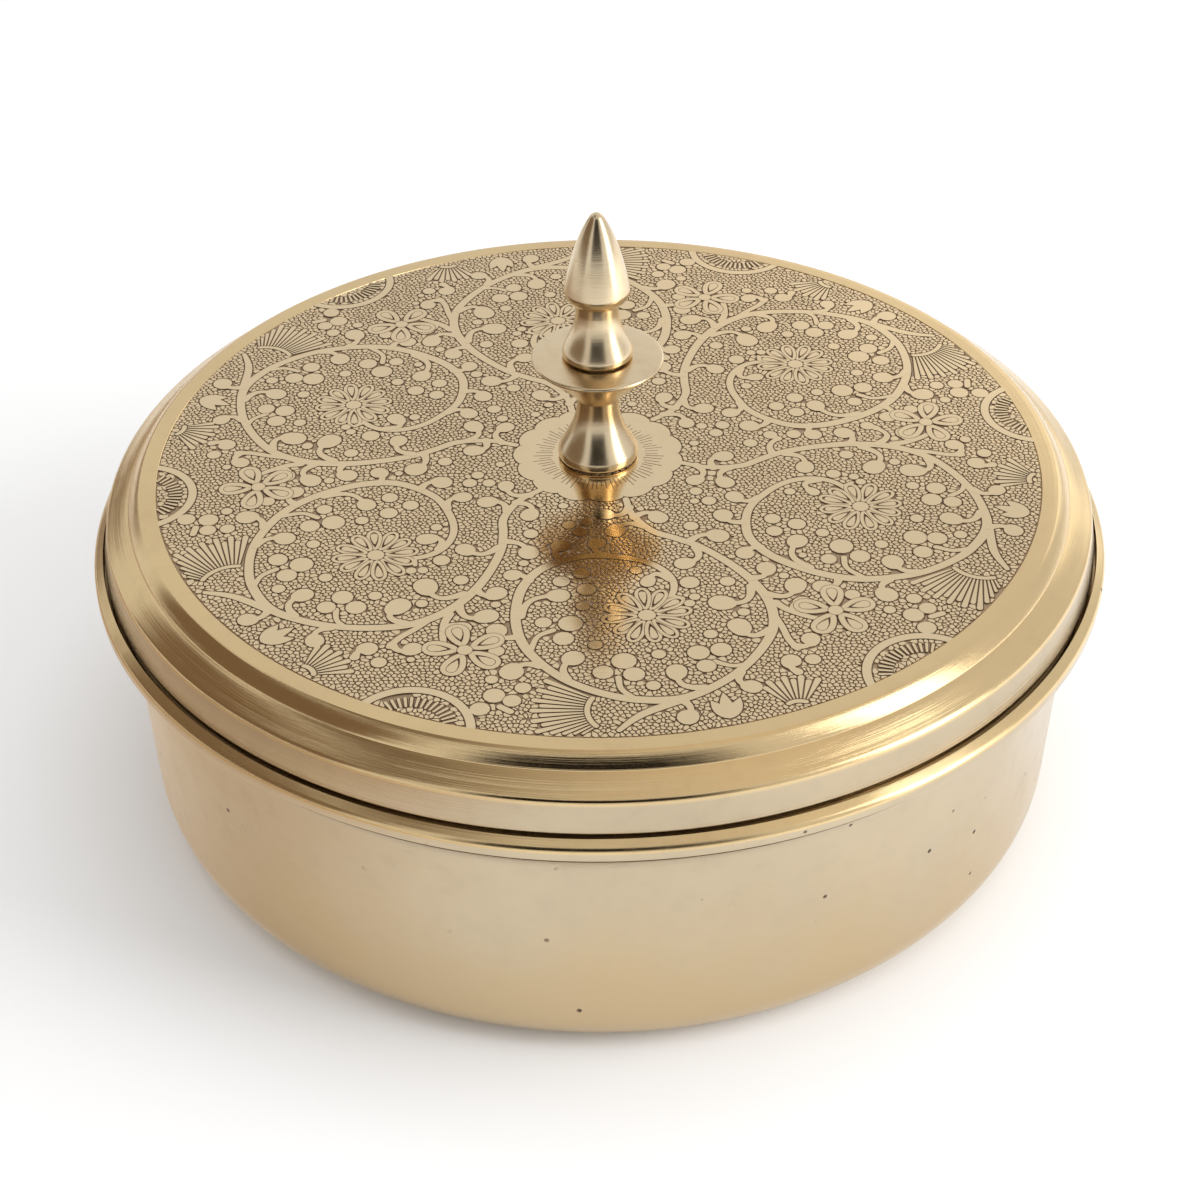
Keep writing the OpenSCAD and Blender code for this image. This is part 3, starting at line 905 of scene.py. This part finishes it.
def make_knob():
    """Two turned pieces on one stud: foot, neck and collar below, flare, neck and bullet above."""
    neck = 2.6
    bore = 1.55
    low, top = LID_Z, COLLAR_HIGH[2]
    edge_r, foot_r = COLLAR_HIGH[0], 5.0
    waist = top - 6.7
    cone = top - 5.8
    outline = [(bore, low), (foot_r - 0.6, low)]
    outline += arc(foot_r - 0.6, low + 0.6, 0.6, -90, 10, 8)
    outline += curve((foot_r - 0.05, low + 1.2), (foot_r - 0.5, low + 2.4),
                     (neck + 0.05, low + 4.6), (neck, waist), 24)
    outline += curve((neck, cone), (neck + 0.3, cone + 0.6),
                     (edge_r - 2, top - 2.1), (edge_r - 0.2, top - 0.6), 16)
    outline += arc(edge_r - 0.3, top - 0.3, 0.3, -30, 90, 8)
    outline += [(edge_r - 0.9, top - 0.015), (5.0, top), (bore, top)]
    turned_piece("knob_collar", outline, "lid_and_knob", "knob_brass", KNOB_BRASS, "knob_base",
                 closed=True, segments=160)

    low, top = FINIAL_LOW[2], FINIAL_HIGH[2]
    base_r, flare, bullet_r = 4.3, low + 0.9, 4.0
    bullet_z = low + (top - low) * 0.476
    neck_z = bullet_z - 1.7
    outline = [(bore, low), (3.6, low), (3.6, low + 0.2), (base_r - 0.12, low + 0.28)]
    outline += arc(base_r - 0.14, low + 0.42, 0.14, -60, 0, 4)
    outline += curve((base_r, flare), (base_r - 0.4, flare + 1.4),
                     (neck + 0.15, flare + 2.7), (neck - 0.02, flare + 5.5), 22)
    outline += curve((neck, neck_z), (neck + 0.9, neck_z + 0.3),
                     (bullet_r - 0.1, bullet_z - 0.7), (bullet_r, bullet_z), 12)
    outline += curve((bullet_r, bullet_z), (bullet_r - 0.25, bullet_z + 1.5),
                     (2.6, bullet_z + 6.9), (0.9, top - 0.6), 24)[1:]
    outline += curve((0.9, top - 0.6), (0.7, top - 0.25), (0.4, top), (0, top), 7)[1:]
    socket_z = neck_z - 0.5
    outline = [(0, socket_z), (bore, socket_z)] + outline
    turned_piece("knob_bullet", outline, "lid_and_knob", "knob_brass", KNOB_BRASS, "knob_finial",
                 segments=160)


def hardware(name, outline, node, **how):
    """A turned piece of the knob's fastening."""
    turned_piece(name, outline, "lid_and_knob", "hardware_brass", HARDWARE_BRASS, node, **how)


def make_stud():
    """A threaded rod, whose thread is a warp of a plain one, with rounded-off ends."""
    low, high = node_box("knob_stud")
    pitch, depth, crest = 0.5, 0.28, high[0]
    chamfer, run_out = 0.25, 0.3
    heights = np.linspace(low[2], high[2], int((high[2] - low[2]) / pitch * 6) + 1)
    outline = [(0, low[2])] + [(crest, z) for z in heights] + [(0, high[2])]

    def thread(vertices):
        out = vertices.copy()
        turn = np.arctan2(out[:, 1], out[:, 0]) / (2 * pi)
        phase = np.abs(((out[:, 2] - low[2]) / pitch - turn) % 1.0 - 0.5) * 2
        end = np.minimum(out[:, 2] - low[2], high[2] - out[:, 2])
        shrink = 1 - (depth * phase + chamfer * np.clip(1 - end / run_out, 0, 1)) / crest
        out[:, :2] *= shrink[:, None]
        return out

    hardware("stud", outline, "knob_stud", segments=32, warp=thread, sharp=50)


def make_washer():
    """A flat ring with a rounded outer edge."""
    low, high = node_box("knob_washer")
    bore, edge = 1.6, 0.12
    outline = [(bore, low[2]), (high[0] - 0.1, low[2])]
    outline += arc(high[0] - edge, low[2] + edge, edge, -90, 0, 3)
    outline += arc(high[0] - edge, high[2] - edge, edge, 0, 90, 3) + [(bore, high[2])]
    hardware("washer", outline, "knob_washer", closed=True, segments=96)


def make_nut():
    """A turned ring whose outer wall is pressed in to six flats."""
    low, high = node_box("knob_nut")
    flats, corner = high[1], high[0]
    bore, countersink, chamfer = 1.55, 0.25, 0.32

    def hexagon(vertices):
        out = vertices.copy()
        radius = np.hypot(out[:, 0], out[:, 1])
        away = np.degrees(np.arctan2(out[:, 1], out[:, 0])) % 60 - 30
        wall = flats / np.cos(np.radians(away))
        target = np.where(radius > flats - 0.3, np.minimum(wall, radius), radius)
        out[:, :2] *= (target / radius)[:, None]
        return out

    outline = [(bore, low[2] + countersink), (bore + 0.25, low[2]), (flats - 0.1, low[2]),
               (corner, low[2] + chamfer), (corner, high[2] - chamfer), (flats - 0.1, high[2]),
               (bore + 0.25, high[2]), (bore, high[2] - countersink)]
    hardware("nut", outline, "knob_nut", closed=True, segments=96, warp=hexagon, sharp=25)


# ---- cups and spoon

def make_cups():
    """Seven spun cups with a beaded rim, which share one outline from the cup's own floor."""
    height = CUP_HIGH[2] - CUP_LOW[2]
    cup_r, wall, corner, bead, base_ring = CUP_HIGH[0], 0.8, 4.0, 0.7, 8.0
    corner_x = cup_r - 2.3 - corner
    bead_x = cup_r - bead
    outline = [(0, 0), (base_ring, 0)] + arc(corner_x, corner, corner, -90, 0, 12)
    outline += arc(bead_x, height - bead, bead, -70, 180, 16)
    outline += [(bead_x - bead + 0.1, height - 2 * bead)]
    outline += arc(corner_x, corner, corner - wall, 0, -90, 12) + [(base_ring, wall), (0, wall)]
    for node in ["centre_cup"] + [f"ring_cup_{i}" for i in range(1, 7)]:
        low, high = node_box(node)
        x, y, _ = (low + high) / 2
        material = brass(f"{node}_brass", (0.84, 0.65, 0.35), (0.64, 0.44, 0.21), (0.12, 0.22),
                         centre=(x * MM, y * MM), brushing=0.01 * MM)
        turned_piece(f"{node}_shell", outline, node, "cup_brass", material, node, segments=144,
                     warp=lambda vertices: vertices + np.array([x, y, low[2]]))


def make_spoon():
    """A loft along X: a dished round bowl that narrows into a ribbed handle with a rounded end."""
    start, end = SPOON_LOW[0], SPOON_HIGH[0]
    bowl_r = SPOON_HIGH[1]
    bowl_x = start + bowl_r
    neck_x = bowl_x + bowl_r * 0.6
    level, thick = SPOON_HIGH[2], 0.9
    dish = level - SPOON_LOW[2] - thick
    slim, tip = 2.2, 4.0
    stations = np.concatenate([
        bowl_x - bowl_r * np.cos(np.linspace(0.06, pi * 0.86, 30)),
        np.linspace(bowl_x + bowl_r * 0.95, end - tip, 26),
        end - tip + tip * np.sin(np.linspace(0.1, pi / 2 - 0.06, 9))])
    columns = np.linspace(-1, 1, 17)
    top, under = [], []
    for x in stations:
        bowl = sqrt(max(bowl_r ** 2 - (x - bowl_x) ** 2, 0.0))
        along = np.clip((x - neck_x) / (end - neck_x), 0, 1)
        handle = slim + 1.8 * along ** 1.2
        if x > end - tip:
            handle = tip * sqrt(max(1 - ((x - end + tip) / tip) ** 2, 0.0004))
        half = max(bowl, handle if x > bowl_x else 0.0, 0.15)
        sink = dish * max(0.0, 1 - ((x - bowl_x) / (bowl_r - thick)) ** 2)
        rib = 0.0 if x < bowl_x + bowl_r else 0.25 * sin(pi * along) ** 0.5
        for u in columns:
            z = level - sink * (1 - abs(u) ** 2.2) - rib * (1 - cos(2 * pi * u)) * 0.5
            round_off = 0.32 * abs(u) ** 6
            top.append((x, half * u, z - round_off))
            under.append((x, half * u, z - thick + round_off + rib * 0.4))

    # Top and underside, then the two long edges and the two ends; some faces are turned round
    width, shift = len(columns), len(top)
    faces = []
    for a in range(0, shift - width, width):
        b = a + width
        for j in range(width - 1):
            faces.append((a + j, b + j, b + j + 1, a + j + 1))
            faces.append((shift + a + j, shift + a + j + 1, shift + b + j + 1, shift + b + j))
        faces.append((a, shift + a, shift + b, b))
        faces.append((a + width - 1, shift + a + width - 1, shift + b + width - 1, b + width - 1)[::-1])
    for a, turned in ((0, -1), (shift - width, 1)):
        for j in range(a, a + width - 1):
            faces.append((j, shift + j, shift + j + 1, j + 1)[::turned])
    new_piece("brass_spoon", top + under, faces, "spoon", SPOON_BRASS, ["spoon"], sharp=50)


# ---- camera, floor and light

def make_camera():
    """The photograph's viewpoint: about 37 degrees down, close, with a slight roll."""
    pitch, yaw, roll = radians(36.857), radians(-0.430), radians(-0.679)
    level = cos(pitch)
    forward = Vector((sin(yaw) * level, cos(yaw) * level, -sin(pitch)))
    right = Vector((cos(yaw), -sin(yaw), 0))
    up = right.cross(forward)
    turn = Matrix((right, up, -forward)).transposed().to_4x4() @ Matrix.Rotation(roll, 4, "Z")
    data = bpy.data.cameras.new("camera")
    data.sensor_width = 36.0
    data.lens = 67.3
    data.shift_x = 0.0118
    data.clip_start = 0.01
    camera = add_object("camera", data)
    camera.matrix_world = Matrix.Translation((0.0, -0.2360, 0.1987)) @ turn
    bpy.context.scene.camera = camera


def floor_material():
    n = Nodes("floor_white")
    cloud = n.spread(n.noise(n.place, 3.0, detail=5.0), 0.3, 0.7)
    n.set("Base Color", n.mix(cloud, (0.93, 0.93, 0.93), (0.91, 0.91, 0.91)))
    n.set("Roughness", 0.9)
    n.set("Specular IOR Level", 0.1)
    return n.material


def flat(name, width, height, material):
    """A rectangle round the origin."""
    w, h = width / 2, height / 2
    mesh = bpy.data.meshes.new(name)
    mesh.from_pydata([(-w, -h, 0), (w, -h, 0), (w, h, 0), (-w, h, 0)], [], [(0, 1, 2, 3)])
    mesh.materials.append(material)
    return add_object(name, mesh)


def aim(thing, front, centre, target):
    """Puts a thing at a place with its front axis towards a target."""
    facing = (Vector(target) - Vector(centre)).to_track_quat(front, "Y")
    thing.matrix_world = Matrix.Translation(centre) @ facing.to_matrix().to_4x4()


def card(name, centre, target, width, height, colours, across, fade=None, soft=0.4):
    """A flat studio card that faces a target and shows only in reflections. Its glow goes from one
    colour to another between two places along X, and with fade it also thins out between two
    places. It thins out towards its edges over a share of its size, soft."""
    n = Nodes(name)
    x = n.split(n.tree.nodes.new("ShaderNodeNewGeometry").outputs["Position"])[0]
    n.set("Base Color", (0, 0, 0, 1))
    n.set("Specular IOR Level", 0.0)
    n.set("Emission Strength", 1.0)
    n.set("Emission Color", n.mix(n.spread(x, *across), *colours))
    alpha = 1.0
    for away, half in zip(n.split(n.place), (width / 2, height / 2)):
        edge = n.fall(n.math("ABSOLUTE", away), half * (1 - soft), half)
        alpha = n.times(alpha, edge)
    if fade:
        alpha = n.times(alpha, n.fall(x, *fade))
    n.set("Alpha", alpha)
    board = flat(name, width, height, n.material)
    aim(board, "Z", centre, target)
    board.visible_camera = False
    board.visible_diffuse = False
    board.visible_shadow = False


def softbox(name, centre, target, width, height, radiance):
    """An area light of a given brightness, whatever its size."""
    data = bpy.data.lights.new(name, "AREA")
    data.shape = "RECTANGLE"
    data.size, data.size_y = width, height
    data.energy = radiance * pi * width * height
    light = add_object(name, data)
    aim(light, "-Z", centre, target)
    light.visible_camera = False
    return light


def make_studio():
    """A pale floor and surround, three softboxes, and cards that give the metal its dark and warm
    bands."""
    floor = flat("floor", 6, 6, floor_material())

    world = bpy.data.worlds.new("studio")
    world.use_nodes = True
    surround = world.node_tree.nodes["Background"].inputs
    surround["Color"].default_value = (0.80, 0.80, 0.80, 1.0)
    surround["Strength"].default_value = 1.0
    bpy.context.scene.world = world
    bpy.context.scene.view_settings.view_transform = "Standard"

    box = (0, 0, 0.03)
    everywhere = (-1, 1)
    dark, brown, tawny = (0.016, 0.013, 0.011), (0.22, 0.16, 0.11), (0.60, 0.47, 0.35)
    shade, cream = (0.20, 0.16, 0.12), (0.80, 0.74, 0.66)
    grey, white = (0.92, 0.89, 0.85), (1.45, 1.43, 1.38)
    clay, sand = (0.48, 0.39, 0.32), (0.80, 0.65, 0.49)
    card("card_front", (0, -0.50, 0.39), (0, 0, 0.39), 0.52, 0.54, (dark, dark), everywhere, soft=0.05)
    card("card_left", (-0.45, -0.08, 0.25), box, 0.66, 0.48, (brown, brown), everywhere, soft=0.2)
    card("card_back_left", (-0.44, 0.60, 0.07), box, 0.60, 0.26, (brown, tawny), (-0.6, -0.2))
    card("card_ceiling", (0, -0.05, 1), (0, -0.05, 0), 1.4, 0.8, (shade, cream), (-0.5, 0.25), soft=0.05)
    card("card_back_right", (0.30, 0.62, 0.26), box, 0.8, 0.44, (grey, white), (0.0, 0.45))
    # card_low_left is a painted reflection: a clay to sand glow on the floor at the left, standing in for
    # the box's shadow there as the wall mirrors it
    card("card_low_left", (-0.16, -0.03, 0.0004), (-0.16, -0.03, 1), 0.32, 0.36, (clay, sand),
         (-0.17, -0.06), fade=(-0.10, -0.01), soft=0.02)
    softbox("softbox_right", (0.50, -0.20, 0.25), box, 0.22, 0.5, 3.2)
    softbox("softbox_side", (0.60, -0.10, 0.30), box, 0.5, 0.5, 3.0).visible_glossy = False
    softbox("softbox_top", (0.0, 0.0, 0.95), box, 0.8, 0.8, 0.9).visible_glossy = False


make_body()
make_lid()
make_ornament()
make_knob()
make_stud()
make_washer()
make_nut()
make_cups()
make_spoon()
make_studio()
make_camera()
